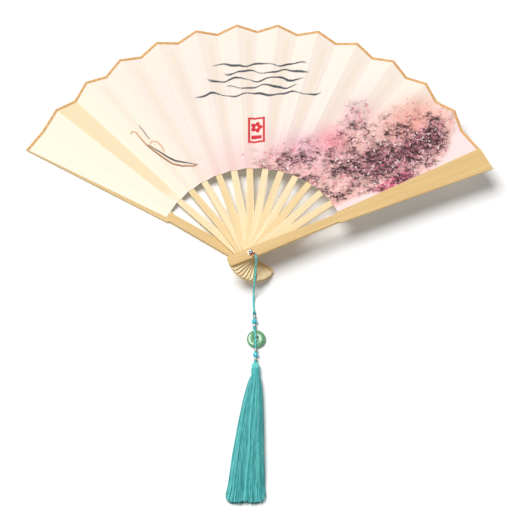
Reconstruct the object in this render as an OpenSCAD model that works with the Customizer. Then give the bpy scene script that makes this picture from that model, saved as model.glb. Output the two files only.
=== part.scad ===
// Folding hand fan: fourteen flat sticks turn on one rivet and carry a pleated cloth leaf.
// It lies open with its back guard on the table. The rivet's axis is the Z axis, the leaf points
// along +Y, and Z = 0 is the outer face of the back guard.

/* [Sticks] */
// Number of inner ribs between the two guards
rib_count = 12; // [8:1:14]
// Rivet axis to the tip of a guard's longer corner
stick_reach = 211; // [170:1:255]
// Rivet axis to the rounded end of the heads
head_reach = 19.7; // [16:0.1:24]
// Width of every stick at the rivet
stick_width = 8.8; // [7.2:0.1:10.6]
// Thickness of a rib at the rivet
rib_thick = 1.3; // [1:0.05:1.6]
// Thickness of a guard
guard_thick = 3.2; // [2.6:0.1:4]
// Gap between neighbouring sticks in the stack
layer_gap = 0.15; // [0.05:0.05:0.3]
// Width of a rib half way up its bare part
rib_waist = 6.4; // [5.2:0.1:7.6]
// Width of a rib where the leaf starts
rib_neck = 5.2; // [4.2:0.1:6]
// Thickness of the slip that carries the leaf
slip_thick = 0.5; // [0.4:0.05:0.6]
// Width of a guard's handle below its shoulder
guard_neck = 7; // [6:0.1:8]
// Width of a guard's blade at its shoulder
blade_start = 9.6; // [8:0.1:11.5]
// Width of a guard's blade at its tip
blade_end = 20.8; // [17:0.1:25]
// Depth cut from the inner face of a blade to leave room for the folded leaf
blade_relief = 1.4; // [1.4:0.05:1.6]

/* [Spread] */
// Direction of the back guard, counterclockwise from +X
back_angle = 148.5; // [140:0.1:160]
// Turn from one rib to the next when the fan is open
rib_step = 9.33; // [7:0.01:9.4]
// Turn from a guard to the rib beside it
end_step = 11.2; // [9:0.1:11.5]

/* [Leaf] */
// Rivet axis to the inner edge of the leaf
leaf_inner = 80; // [66:1:96]
// How much the leaf's edge at the outward folds stays short of the guards' tips
leaf_short = 0; // [0:0.5:6]
// How much less the leaf reaches at the inward folds
leaf_notch = 5; // [3:0.5:6]
// Thickness of the leaf
leaf_thick = 0.25; // [0.2:0.05:0.3]
// Lean of the panels that are glued to the ribs
leaf_lean = 8.5; // [6:0.5:9]

/* [Rivet] */
// Diameter of the rivet's shank
rivet_d = 2; // [1.6:0.1:2.4]
// Radial clearance of the sticks on the rivet
rivet_fit = 0.05; // [0.02:0.01:0.1]
// Diameter of the ball that ends the rivet
ball_d = 3.6; // [3:0.1:4.3]
// Thickness of the wire of the tassel's link
link_wire = 0.9; // [0.7:0.05:1]

/* [Tassel] */
// Diameter of the cord
cord_d = 1.6; // [1.4:0.1:1.6]
// Diameter of the round beads
bead_d = 4.6; // [3.8:0.1:5.4]
// Diameter of the spacers beside the beads
spacer_d = 3.2; // [2.7:0.1:3.8]
// Diameter of the jade disc
jade_d = 15.2; // [12.7:0.1:16.4]
// Thickness of the jade disc
jade_thick = 3.2; // [2.7:0.1:3.3]
// Diameter of the tassel's bound head
tassel_head_d = 7; // [6:0.1:8.4]
// Length of the tassel's skirt
skirt_length = 106; // [88:1:127]
// Width of the skirt's lower end
skirt_width = 33; // [27:1:40]
// Thickness of the skirt as it lies
skirt_thick = 9; // [7.5:0.5:10.5]

/* [Hidden] */

pair_digits = 10;
function numbered(name, i) = str(name, i < pair_digits ? "_0" : "_", i);

// The guards count as layers 0 and rib_count + 1
front = rib_count + 1;
rib_pitch = rib_thick + layer_gap;
function layer_floor(i) = i == 0 ? 0 : guard_thick + layer_gap + (i - 1) * rib_pitch;
function rib_middle(i) = layer_floor(i) + rib_thick / 2;
function turn(i) = i == 0 ? back_angle
    : back_angle - end_step - (min(i, rib_count) - 1) * rib_step - (i == front ? end_step : 0);
stack_top = layer_floor(front) + guard_thick;

// Outline of the sticks, each lying along +X from the rivet
leaf_ridge = stick_reach - leaf_short;
head_round = 2.5;
head_half = stick_width / 2;
waist_at = leaf_inner / 2;
neck_at = leaf_inner - 1;
slip_start = leaf_inner - 6;
slip_end = leaf_ridge - leaf_notch - 6;
slip_tip = 4.4;
shoulder_at = leaf_inner - 4;
shoulder_run = 1.5;
tip_slant = 2.1;
over = 0.5;
round_fn = 48;

// Angles, from a rib's middle, of the outward fold on its left and the inward fold on its right
ridge_turn = 2.56;
valley_turn = 2.13;
// Gap that keeps a loose panel clear of the panels at its two folds
fold_gap = 0.3;

// Heights of the pieces on the front of the rivet
washer_gap = 0.03;
washer_thick = 0.4;
washer_d = 5.2;
link_play = 0.08;
link_eye = rivet_d / 2 + 0.15 + link_wire / 2;
link_z = stack_top + washer_gap + washer_thick + link_play + link_wire / 2;
ball_reach = ball_d / 2 + link_wire / 2 + link_play;
ball_z = link_z + sqrt(pow(ball_reach, 2) - pow(link_eye, 2));
pin_top = ball_z - ball_d / 4;
recess_d = 6.6;
recess_deep = 0.9;
back_washer_d = 6.2;
back_washer_thick = 0.8;
link_loop = 1.5;
link_neck = 0.3;
link_turn = -36;
link_reach = link_eye + link_neck + link_loop;

// Route of the cord's middle, from the link over the heads to the table and on to the tassel
drawn_stack = 23.95;
cord_drop = [
    [4.0, -3.0, 25.1], [4.4, -5.6, 24.8], [4.4, -7.8, 22.2], [4.1, -9.2, 18.4], [3.9, -11.8, 15.9],
    [3.6, -15.2, 14.5], [3.2, -18.8, 13.4], [2.9, -21.8, 11.0], [2.7, -24.2, 8.0], [2.5, -26.6, 5.0]
];
cord_run = [
    [2.3, -29.6, 2.5], [2.2, -33.4, 1.1], [2.3, -37.4, 0.9], [2.6, -41.2, 1.3], [2.9, -44.8, 1.9],
    [3.0, -48.4, 2.3], [3.0, -52.0, 2.3], [2.9, -55.6, 2.4], [3.0, -58.6, 3.8], [3.4, -61.4, 4.3],
    [3.8, -64.6, 4.1], [3.9, -67.6, 4.1], [4.0, -70.6, 4.2], [4.0, -73.6, 3.95], [4.0, -76.4, 2.7],
    [4.0, -80.2, 2.3], [3.9, -84.0, 2.3]
];
cord_end = [[3.9, -87.6, 3.0], [3.9, -90.0, 3.5]];
drop_scale = stack_top / drawn_stack;
drawn_reach = 3.4;
drop_shift = link_reach - drawn_reach;
drawn_head = 7;
head_rise = (tassel_head_d - drawn_head) / 2;
cord_route = concat(
    [
        for (p = cord_drop)
            [p[0] + drop_shift * cos(link_turn), p[1] + drop_shift * sin(link_turn), p[2] * drop_scale]
    ],
    cord_run,
    [for (p = cord_end) [p[0], p[1], p[2] + head_rise]]
);
cord_sides = 8;

// Where the pieces on the cord sit, with the slopes of the cord there
knot_places = [[2.9, -44.3, 1.8], [2.9, -57.0, 2.9], [3.9, -86.4, 2.75]];
knot_d = 2.8;
hitch_d = 1.8;
spacer_places = [[3.0, -47.3, 2.3], [2.95, -55.1, 2.35], [4.0, -76.6, 2.65], [3.95, -84.2, 2.3]];
spacer_long = 1.4;
bead_places = [[3.0, -51.5, 2.3], [4.0, -80.4, 2.3]];
bead_bore = cord_d + 0.1;
jade_place = [4.4, -66.4, 0];
jade_hole_d = 3.6;
jade_edge = 0.8;
skirt_start = -99;
cap_start = -88;
cap_d = tassel_head_d - 0.6;
binding_start = -93;
cap_long = abs(binding_start - cap_start);
binding_long = abs(skirt_start - binding_start);
tassel_axis = [3.9, tassel_head_d / 2];
// Shift of the skirt's middle towards -X at its lower end
skirt_sway = 7.5;
skirt_steps = 6;
skirt_fn = 24;

// Straight stretch of a stick with a width at each end
module taper(x0, w0, x1, w1) {
    polygon([[x0, -w0 / 2], [x1, -w1 / 2], [x1, w1 / 2], [x0, w0 / 2]]);
}

// The head below the rivet, with its two round corners
module head_outline() {
    end_flat = stick_width - 2 * head_round;
    translate([-head_reach + head_round, -head_half]) square([head_reach - head_round, stick_width]);
    translate([-head_reach, -end_flat / 2]) square([head_round + over, end_flat]);
    for (side = [-1, 1])
        translate([-head_reach + head_round, side * (head_half - head_round)])
            circle(r = head_round, $fn = round_fn);
}

module pivot_hole(from, to) {
    translate([0, 0, from - over])
        cylinder(d = rivet_d + 2 * rivet_fit, h = to - from + 2 * over, $fn = round_fn);
}

module rib(i) {
    color(i % 2 == 0 ? "#F6DDA4" : "#F0CE8C")
    translate([0, 0, layer_floor(i)]) rotate(turn(i)) {
        difference() {
            linear_extrude(rib_thick) {
                head_outline();
                taper(-over, stick_width, waist_at, rib_waist);
                taper(waist_at - over, rib_waist, neck_at, rib_neck);
            }
            pivot_hole(0, rib_thick);
        }
        translate([0, 0, rib_thick / 2]) rotate([leaf_lean, 0, 0])
            translate([0, 0, -slip_thick / 2]) linear_extrude(slip_thick)
                taper(slip_start, rib_neck - over, slip_end, slip_tip);
    }
}

// The wide blade of a guard; its outer corner is on the side named by outer
module blade_outline(outer) {
    polygon([
        [shoulder_at, -guard_neck / 2], [shoulder_at + shoulder_run, -blade_start / 2],
        [stick_reach - (outer < 0 ? 0 : tip_slant), -blade_end / 2],
        [stick_reach - (outer > 0 ? 0 : tip_slant), blade_end / 2],
        [shoulder_at + shoulder_run, blade_start / 2], [shoulder_at, guard_neck / 2]
    ]);
}

// A guard with its outer face down; the inner face of its blade is cut back
module guard(outer) {
    difference() {
        linear_extrude(guard_thick) {
            head_outline();
            taper(-over, stick_width, shoulder_at + over, guard_neck);
        }
        pivot_hole(0, guard_thick);
    }
    linear_extrude(guard_thick - blade_relief) blade_outline(outer);
}

module back_guard() {
    color("#EBCB86")
    rotate(turn(0)) difference() {
        guard(1);
        translate([0, 0, -over]) cylinder(d = recess_d, h = recess_deep + over, $fn = round_fn);
    }
}

module front_guard() {
    color("#E8C47C")
    translate([0, 0, stack_top]) rotate(turn(front)) rotate([180, 0, 0]) guard(1);
}

module rivet_pin() {
    color("#C9CBCE")
    translate([0, 0, recess_deep - back_washer_thick])
        cylinder(d = rivet_d, h = pin_top - recess_deep + back_washer_thick, $fn = round_fn);
}

module rivet_ball() {
    color("#DDE0E3")
    difference() {
        translate([0, 0, ball_z]) sphere(d = ball_d, $fn = round_fn);
        translate([0, 0, ball_z - ball_d]) cylinder(d = rivet_d, h = pin_top - ball_z + ball_d, $fn = round_fn);
    }
}

module washer(size, thick) {
    difference() {
        cylinder(d = size, h = thick, $fn = round_fn);
        pivot_hole(0, thick);
    }
}

module front_washer() {
    color("#C9CBCE") translate([0, 0, stack_top + washer_gap]) washer(washer_d, washer_thick);
}

module back_washer() {
    color("#C9CBCE") translate([0, 0, recess_deep - back_washer_thick])
        washer(back_washer_d, back_washer_thick);
}

// Leaf panel glued to the front of a rib's slip, between its two folds
module leaf_panel(i) {
    color("#FBE9DF")
    translate([0, 0, rib_middle(i)]) rotate(turn(i)) rotate([leaf_lean, 0, 0])
        translate([0, 0, slip_thick / 2]) linear_extrude(leaf_thick) polygon([
            leaf_point(leaf_inner, ridge_turn), leaf_point(leaf_inner, -valley_turn),
            leaf_point(leaf_ridge - leaf_notch, -valley_turn), leaf_point(leaf_ridge, ridge_turn)
        ]);
}

function leaf_point(reach, angle) = [reach * cos(angle), reach * sin(angle)];

// The leaf's two ends, glued to the cut-back inner faces of the blades
end_inner_half = 1.5;
blade_turn = atan(blade_end / 2 / stick_reach);
end_edge = 0.4;

module leaf_end(reach) {
    linear_extrude(leaf_thick) polygon([
        [leaf_inner, end_inner_half], leaf_point(leaf_inner, -blade_turn),
        leaf_point(leaf_ridge - tip_slant, -blade_turn), [reach - end_edge, blade_end / 2 - end_edge]
    ]);
}

module leaf_end_back() {
    color("#FFFDEB")
    translate([0, 0, guard_thick - blade_relief]) rotate(turn(0)) leaf_end(stick_reach);
}

module leaf_end_front() {
    color("#F7DAD6")
    translate([0, 0, layer_floor(front) + blade_relief]) rotate(turn(front)) rotate([180, 0, 0])
        leaf_end(stick_reach);
}

// Underside of the leaf at a fold: at the right of layer i, or at the left of it
function lean_of(i) = i == 0 || i == front ? 0 : leaf_lean;
function leaf_base(i) = i == 0 ? guard_thick - blade_relief
    : i == front ? layer_floor(front) + blade_relief - leaf_thick
    : rib_middle(i) + slip_thick / 2 / cos(leaf_lean);
function fold_turn(i, left) = i == 0 ? -blade_turn : i == front ? blade_turn
    : left ? ridge_turn : -valley_turn;
function fold_point(i, left, reach) =
    let (gap = (left ? 1 : -1) * fold_gap, side = reach * sin(fold_turn(i, left)), a = turn(i))
    [
        reach * cos(fold_turn(i, left)) * cos(a) - (side + gap) * sin(a),
        reach * cos(fold_turn(i, left)) * sin(a) + (side + gap) * cos(a),
        leaf_base(i) + (side + gap) * tan(lean_of(i))
    ];

// Loose leaf panel from the fold at the right of layer i to the fold at the left of the next
module leaf_fold(i) {
    valley_reach = i == 0 ? leaf_ridge - tip_slant : leaf_ridge - leaf_notch;
    ridge_reach = i == rib_count ? leaf_ridge - tip_slant : leaf_ridge;
    low = [
        fold_point(i, false, leaf_inner), fold_point(i, false, valley_reach),
        fold_point(i + 1, true, ridge_reach), fold_point(i + 1, true, leaf_inner)
    ];
    high = [for (p = low) p + [0, 0, leaf_thick]];
    color("#FFF4E8")
    polyhedron(concat(low, high), [
        [0, 3, 2, 1], [4, 5, 6, 7], [0, 1, 5, 4], [1, 2, 6, 5], [2, 3, 7, 6], [3, 0, 4, 7]
    ]);
}

// Wire link: an eye round the rivet and a loop that carries the cord, both lying flat
module tassel_link() {
    color("#C98A5A")
    translate([0, 0, link_z]) rotate(link_turn) {
        rotate_extrude($fn = round_fn) translate([link_eye, 0]) circle(d = link_wire, $fn = round_fn);
        translate([link_eye, 0]) rotate([0, 90, 0])
            cylinder(d = link_wire - link_play, h = link_neck, $fn = round_fn);
        translate([link_reach, 0]) rotate_extrude($fn = round_fn)
            translate([link_loop, 0]) circle(d = link_wire, $fn = round_fn);
    }
}

// Tube swept along a list of points, with rings square to the route
function unit(v) = v / norm(v);
function heading(path, i) = unit(path[min(i + 1, len(path) - 1)] - path[max(i - 1, 0)]);
function ring(path, i, r, sides) =
    let (t = heading(path, i), u = unit(cross(t, [1, 0, 0])), v = cross(t, u))
    [for (k = [0 : sides - 1]) path[i] + r * (cos(k * 360 / sides) * u + sin(k * 360 / sides) * v)];

module tube(path, d, sides) {
    last = len(path) - 1;
    points = [for (i = [0 : last]) each ring(path, i, d / 2, sides)];
    walls = [for (i = [0 : last - 1], k = [0 : sides - 1])
        [i * sides + k, i * sides + (k + 1) % sides, (i + 1) * sides + (k + 1) % sides, (i + 1) * sides + k]];
    start_cap = [[for (k = [sides - 1 : -1 : 0]) k]];
    end_cap = [[for (k = [0 : sides - 1]) last * sides + k]];
    polyhedron(points, concat(walls, start_cap, end_cap));
}

module tassel_cord() {
    color("#4FC7C3") tube(cord_route, cord_d, cord_sides);
}

// Places a piece on the cord with its axis along -Y
module on_cord(place) {
    translate(place) rotate([90, 0, 0]) children();
}

module bored_ball(d) {
    difference() {
        sphere(d = d, $fn = round_fn);
        cylinder(d = bead_bore, h = d + over, center = true, $fn = round_fn);
    }
}

module cord_knots() {
    color("#35A9A8") {
        for (place = knot_places) on_cord(place) bored_ball(knot_d);
        translate([0, 0, link_z]) rotate(link_turn) translate([link_reach + link_loop, 0])
            sphere(d = hitch_d, $fn = round_fn);
    }
}

module spacer_beads() {
    color("#D9C4BE")
    for (place = spacer_places) on_cord(place) difference() {
        cylinder(d = spacer_d, h = spacer_long, center = true, $fn = round_fn);
        cylinder(d = bead_bore, h = spacer_long + over, center = true, $fn = round_fn);
    }
}

module round_beads() {
    color("#3FC4D0") for (place = bead_places) on_cord(place) bored_ball(bead_d);
}

// Jade disc with a round hole and softened edges, lying flat
module jade_disc() {
    color("#6DB27F")
    translate(jade_place) rotate_extrude($fn = 2 * round_fn) polygon([
        [jade_hole_d / 2 + jade_edge / 2, 0], [jade_d / 2 - jade_edge, 0], [jade_d / 2, jade_edge],
        [jade_d / 2, jade_thick - jade_edge], [jade_d / 2 - jade_edge, jade_thick],
        [jade_hole_d / 2 + jade_edge / 2, jade_thick], [jade_hole_d / 2, jade_thick - jade_edge / 2],
        [jade_hole_d / 2, jade_edge / 2]
    ]);
}

// Places a piece of the tassel at a distance below the rivet, with its axis along -Y
module on_tassel(y) {
    translate([tassel_axis[0], y, tassel_axis[1]]) rotate([90, 0, 0]) children();
}

module tassel_cap() {
    color("#43BDBB")
    on_tassel(cap_start) difference() {
        intersection() {
            union() {
                translate([0, 0, cap_d / 2]) sphere(d = cap_d, $fn = round_fn);
                translate([0, 0, cap_d / 2]) cylinder(d = cap_d, h = cap_long, $fn = round_fn);
            }
            cylinder(d = cap_d + 2 * over, h = cap_long, $fn = round_fn);
        }
        translate([0, 0, -over]) cylinder(d = bead_bore, h = cap_d / 2 + over, $fn = round_fn);
    }
}

module tassel_binding() {
    color("#2FA3A3") on_tassel(binding_start) cylinder(d = tassel_head_d, h = binding_long, $fn = round_fn);
}

// Skirt of threads: from the binding it widens, flattens and drifts to one side
function skirt_share(s) = pow(s, 0.8);
function skirt_ring(s) =
    let (
        half_w = (tassel_head_d + (skirt_width - tassel_head_d) * skirt_share(s)) / 2,
        half_t = (tassel_head_d + (skirt_thick - tassel_head_d) * skirt_share(s)) / 2
    )
    [for (k = [0 : skirt_fn - 1]) [
        tassel_axis[0] - skirt_sway * s + half_w * cos(k * 360 / skirt_fn),
        skirt_start - skirt_length * s,
        half_t + half_t * sin(k * 360 / skirt_fn)
    ]];

module tassel_skirt() {
    points = [for (n = [0 : skirt_steps]) each skirt_ring(n / skirt_steps)];
    walls = [for (n = [0 : skirt_steps - 1], k = [0 : skirt_fn - 1])
        [n * skirt_fn + k, n * skirt_fn + (k + 1) % skirt_fn,
            (n + 1) * skirt_fn + (k + 1) % skirt_fn, (n + 1) * skirt_fn + k]];
    start_cap = [[for (k = [skirt_fn - 1 : -1 : 0]) k]];
    end_cap = [[for (k = [0 : skirt_fn - 1]) skirt_steps * skirt_fn + k]];
    color("#4FC7C3") polyhedron(points, concat(walls, start_cap, end_cap));
}

front_guard();
back_guard();
rivet_pin();
rivet_ball();
front_washer();
back_washer();
for (i = [1 : rib_count]) rib(i);
leaf_end_back();
leaf_end_front();
for (i = [1 : rib_count]) leaf_panel(i);
for (i = [0 : rib_count]) leaf_fold(i);
tassel_link();
tassel_cord();
cord_knots();
spacer_beads();
round_beads();
jade_disc();
tassel_cap();
tassel_binding();
tassel_skirt();
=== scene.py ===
"""Looks of the folding fan: sticks, pleated cloth leaf, rivet, cord with beads and jade, tassel."""
import math

import bmesh
import bpy
import numpy as np
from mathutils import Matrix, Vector


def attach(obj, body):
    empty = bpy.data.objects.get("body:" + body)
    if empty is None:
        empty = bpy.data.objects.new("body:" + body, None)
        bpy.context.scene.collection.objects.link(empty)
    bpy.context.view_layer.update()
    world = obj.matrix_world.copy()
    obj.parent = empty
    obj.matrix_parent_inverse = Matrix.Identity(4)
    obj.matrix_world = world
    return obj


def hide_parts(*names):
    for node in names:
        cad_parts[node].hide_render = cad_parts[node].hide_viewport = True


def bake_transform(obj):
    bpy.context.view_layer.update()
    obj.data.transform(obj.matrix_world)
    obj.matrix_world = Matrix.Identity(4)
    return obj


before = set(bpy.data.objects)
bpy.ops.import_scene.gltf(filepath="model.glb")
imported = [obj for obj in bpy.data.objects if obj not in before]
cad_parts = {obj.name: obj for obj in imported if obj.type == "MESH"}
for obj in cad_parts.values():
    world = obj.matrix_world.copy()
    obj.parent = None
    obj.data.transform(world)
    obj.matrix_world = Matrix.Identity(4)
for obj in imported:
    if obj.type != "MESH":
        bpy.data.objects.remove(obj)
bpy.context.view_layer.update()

MM = 0.001
UP = np.array([0.0, 0.0, 1.0])
chance = np.random.default_rng(11)

# Sizes in millimetres, the same as in the part
RIBS = 12
FRONT = RIBS + 1
RIB_THICK = 1.3
GUARD_THICK = 3.2
LAYER_GAP = 0.15
SLIP_THICK = 0.5
RELIEF = 1.4
BLADE_END = 20.8
STICK_REACH = 211.0
BACK_TURN = 148.5
RIB_STEP = 9.33
END_STEP = 11.2
LEAF_INNER = 80.0
LEAF_RIDGE = 211.0
LEAF_NOTCH = 5.0
LEAF_THICK = 0.25
LEAF_LEAN = math.radians(8.5)
RIDGE_TURN = 2.56
VALLEY_TURN = 2.13
TIP_SLANT = 2.1
BLADE_TURN = math.degrees(math.atan(BLADE_END / 2 / STICK_REACH))
STACK_TOP = GUARD_THICK * 2 + LAYER_GAP * FRONT + RIB_THICK * RIBS
LINK_WIRE = 0.9
LINK_EYE = 1.6
LINK_REACH = 3.4
LINK_LOOP = 1.5
LINK_Z = STACK_TOP + 0.03 + 0.4 + 0.08 + LINK_WIRE / 2
LINK_TURN = -36
BALL = 3.6
CORD = 1.6
CORD_ROUTE = [
    (4.0, -3.0, 25.1), (4.4, -5.6, 24.8), (4.4, -7.8, 22.2), (4.1, -9.2, 18.4), (3.9, -11.8, 15.9),
    (3.6, -15.2, 14.5), (3.2, -18.8, 13.4), (2.9, -21.8, 11.0), (2.7, -24.2, 8.0), (2.5, -26.6, 5.0),
    (2.3, -29.6, 2.5), (2.2, -33.4, 1.1), (2.3, -37.4, 0.9), (2.6, -41.2, 1.3), (2.9, -44.8, 1.9),
    (3.0, -48.4, 2.3), (3.0, -52.0, 2.3), (2.9, -55.6, 2.4), (3.0, -58.6, 3.8), (3.4, -61.4, 4.3),
    (3.8, -64.6, 4.1), (3.9, -67.6, 4.1), (4.0, -70.6, 4.2), (4.0, -73.6, 3.95), (4.0, -76.4, 2.7),
    (4.0, -80.2, 2.3), (3.9, -84.0, 2.3), (3.9, -87.6, 3.0), (3.9, -90.0, 3.5),
]
KNOTS = [(2.9, -44.3, 1.8), (2.9, -57.0, 2.9), (3.9, -86.4, 2.75)]
SPACERS = [(3.0, -47.3, 2.3), (2.95, -55.1, 2.35), (4.0, -76.6, 2.65), (3.95, -84.2, 2.3)]
BEADS = [(3.0, -51.5, 2.3), (4.0, -80.4, 2.3)]
JADE = (4.4, -66.4, 0.0)
TASSEL_X = 3.9
TASSEL_Z = 3.5
CAP_START = -88.0
BINDING_START = -93.0
SKIRT_START = -99.0
SKIRT_LENGTH = 106.0


def numbered(name, i):
    return f"{name}_{i:02d}"


def stick_body(i):
    return "back_guard" if i == 0 else "front_guard" if i == FRONT else numbered("rib", i)


def layer_floor(i):
    return 0.0 if i == 0 else GUARD_THICK + LAYER_GAP + (i - 1) * (RIB_THICK + LAYER_GAP)


def stick_turn(i):
    if i == 0:
        return BACK_TURN
    last = END_STEP if i == FRONT else 0.0
    return BACK_TURN - END_STEP - (min(i, RIBS) - 1) * RIB_STEP - last


def smooth_step(low, high, x):
    """An eased step from 0 at low to 1 at high. It falls instead of rising where low is above high."""
    t = np.clip((x - low) / (high - low), 0, 1)
    return t * t * (3 - 2 * t)


# --- Camera: a long lens, looking down at the table from the tassel's side
AIM = Vector((7.5, -1.6, 12.0)) * MM
CAMERA_AWAY = 3.0
CAMERA_RISE = math.radians(67.2)
SEEN_WIDTH = 0.4217
camera = bpy.data.objects.new("camera", bpy.data.cameras.new("camera"))
bpy.context.scene.collection.objects.link(camera)
backward = Vector((0, -math.cos(CAMERA_RISE), math.sin(CAMERA_RISE)))
camera.location = AIM + backward * CAMERA_AWAY
camera.rotation_euler = (math.pi / 2 - CAMERA_RISE, 0, 0)
camera.data.sensor_width = 36
camera.data.lens = 36 * CAMERA_AWAY / SEEN_WIDTH
camera.data.clip_end = 20
bpy.context.scene.camera = camera
bpy.context.scene.view_settings.view_transform = "Standard"


# --- Materials
def linear(code):
    """The linear RGBA of an sRGB hex colour."""
    parts = [int(code[k:k + 2], 16) / 255 for k in (1, 3, 5)]
    return [c / 12.92 if c <= 0.04045 else ((c + 0.055) / 1.055) ** 2.4 for c in parts] + [1.0]


def add(tree, kind, settings=(), links=()):
    """Adds a node, gives it its properties, socket values and ramp stops, and links its inputs."""
    made = tree.nodes.new(kind)
    for key, value in dict(settings).items():
        if key == "stops":
            ramp = made.color_ramp.elements
            ramp.remove(ramp[1])
            ramp[0].position, ramp[0].color = value[0][0], linear(value[0][1])
            for at, code in value[1:]:
                ramp.new(at).color = linear(code)
        elif isinstance(key, str) and hasattr(made, key):
            setattr(made, key, value)
        else:
            made.inputs[key].default_value = value
    for key, source in dict(links).items():
        tree.links.new(source, made.inputs[key])
    return made


def new_material(name):
    """An empty material with its output and Principled shader, as (material, tree, shader)."""
    made = bpy.data.materials.new(name)
    made.use_nodes = True
    tree = made.node_tree
    shader = tree.nodes["Principled BSDF"]
    return made, tree, shader


def set_shader(shader, **values):
    for key, value in values.items():
        shader.inputs[key.replace("_", " ")].default_value = value


# Sandalwood, planed and waxed: straight pale grain with fine darker pores and a soft gloss
def sandalwood(name, pale, deep, streak, gloss):
    made, tree, shader = new_material(name)
    across = add(tree, "ShaderNodeUVMap", {"uv_map": "Grain"})
    # 1 UV unit is 100 mm: fibres about 0.45 mm wide and 60 mm long, drawn a little coarse so that they show
    fibre_map = add(tree, "ShaderNodeMapping", {"Scale": (1.6, 220, 1)}, {"Vector": across.outputs["UV"]})
    fibre = add(tree, "ShaderNodeTexNoise", {"Scale": 1.0, "Detail": 3.0, "Roughness": 0.6},
                {"Vector": fibre_map.outputs[0]})
    # Growth bands about 3 mm wide that run nearly the whole stick
    band_map = add(tree, "ShaderNodeMapping", {"Scale": (1.1, 34, 1)}, {"Vector": across.outputs["UV"]})
    band = add(tree, "ShaderNodeTexNoise", {"Scale": 1.0, "Detail": 2.0, "Distortion": 0.4},
               {"Vector": band_map.outputs[0]})
    # Pores, short dark dashes about 3 mm long
    pore_map = add(tree, "ShaderNodeMapping", {"Scale": (26, 420, 1)}, {"Vector": across.outputs["UV"]})
    pore = add(tree, "ShaderNodeTexNoise", {"Scale": 1.0, "Detail": 1.0}, {"Vector": pore_map.outputs[0]})
    pore_mask = add(tree, "ShaderNodeMapRange", {"From Min": 0.62, "From Max": 0.74, "To Max": 0.5},
                    {"Value": pore.outputs["Fac"]})
    tone = add(tree, "ShaderNodeAttribute", {"attribute_name": "Tone"})
    tone_sum = add(tree, "ShaderNodeMath", {"operation": "MULTIPLY_ADD", 1: 0.85, 2: -0.1},
                   {0: band.outputs["Fac"]})
    tone_all = add(tree, "ShaderNodeMath", {"operation": "ADD"},
                   {0: tone_sum.outputs[0], 1: tone.outputs["Fac"]})
    body = add(tree, "ShaderNodeValToRGB", {"stops": [(0.15, pale), (0.9, deep)]},
               {"Fac": tone_all.outputs[0]})
    streaks = add(tree, "ShaderNodeMapRange", {"From Min": 0.42, "From Max": 0.75, "To Max": 0.4},
                  {"Value": fibre.outputs["Fac"]})
    grained = add(tree, "ShaderNodeMix", {"data_type": "RGBA", 7: linear(streak)},
                  {0: streaks.outputs[0], 6: body.outputs["Color"]})
    pored = add(tree, "ShaderNodeMix", {"data_type": "RGBA", 7: linear("#A9793F")},
                {0: pore_mask.outputs[0], 6: grained.outputs[2]})
    rough = add(tree, "ShaderNodeMapRange", {"To Min": gloss, "To Max": gloss + 0.16},
                {"Value": fibre.outputs["Fac"]})
    relief = add(tree, "ShaderNodeBump", {"Strength": 0.35, "Distance": 0.00012},
                 {"Height": fibre.outputs["Fac"]})
    tree.links.new(pored.outputs[2], shader.inputs["Base Color"])
    tree.links.new(rough.outputs[0], shader.inputs["Roughness"])
    tree.links.new(relief.outputs[0], shader.inputs["Normal"])
    set_shader(shader, IOR=1.5, Coat_Weight=0.12, Coat_Roughness=0.3)
    return made


rib_wood = sandalwood("sandalwood_ribs", "#F8E6BE", "#EBCD93", "#DCB97A", 0.42)
# The sawn edges of a rib get a darker wood colour: painted shade, standing in for the shade along the steps
# between the stacked sticks
shaded_edge_wood = sandalwood("sandalwood_edges_painted_shade", "#E3C38A", "#CDA768", "#B78F55", 0.55)
guard_wood = sandalwood("sandalwood_guards", "#E6C687", "#D4AC65", "#BF934B", 0.42)


# Plated metal, barrel polished: a bright mirror with a faint uneven haze from the tumbling
def plated(name, hue, haze, roughness):
    made, tree, shader = new_material(name)
    place = add(tree, "ShaderNodeTexCoord")
    # Tumbling marks about 0.4 mm apart
    marks = add(tree, "ShaderNodeTexNoise", {"Scale": 2400.0, "Detail": 3.0},
                {"Vector": place.outputs["Object"]})
    tint = add(tree, "ShaderNodeMix", {"data_type": "RGBA", 6: linear(hue), 7: linear(haze)},
               {0: marks.outputs["Fac"]})
    rough = add(tree, "ShaderNodeMapRange", {"To Min": roughness * 0.7, "To Max": roughness * 1.5},
                {"Value": marks.outputs["Fac"]})
    relief = add(tree, "ShaderNodeBump", {"Strength": 0.08, "Distance": 0.00005},
                 {"Height": marks.outputs["Fac"]})
    tree.links.new(tint.outputs[2], shader.inputs["Base Color"])
    tree.links.new(rough.outputs[0], shader.inputs["Roughness"])
    tree.links.new(relief.outputs[0], shader.inputs["Normal"])
    set_shader(shader, Metallic=1.0)
    return made


nickel = plated("nickel_plated_rivet", "#E9EAEC", "#C9CCD0", 0.14)
copper = plated("drawn_copper_wire", "#D9905F", "#B56F45", 0.26)
silver = plated("rose_silver_plate", "#F3E8E4", "#DCC9C3", 0.3)


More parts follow.
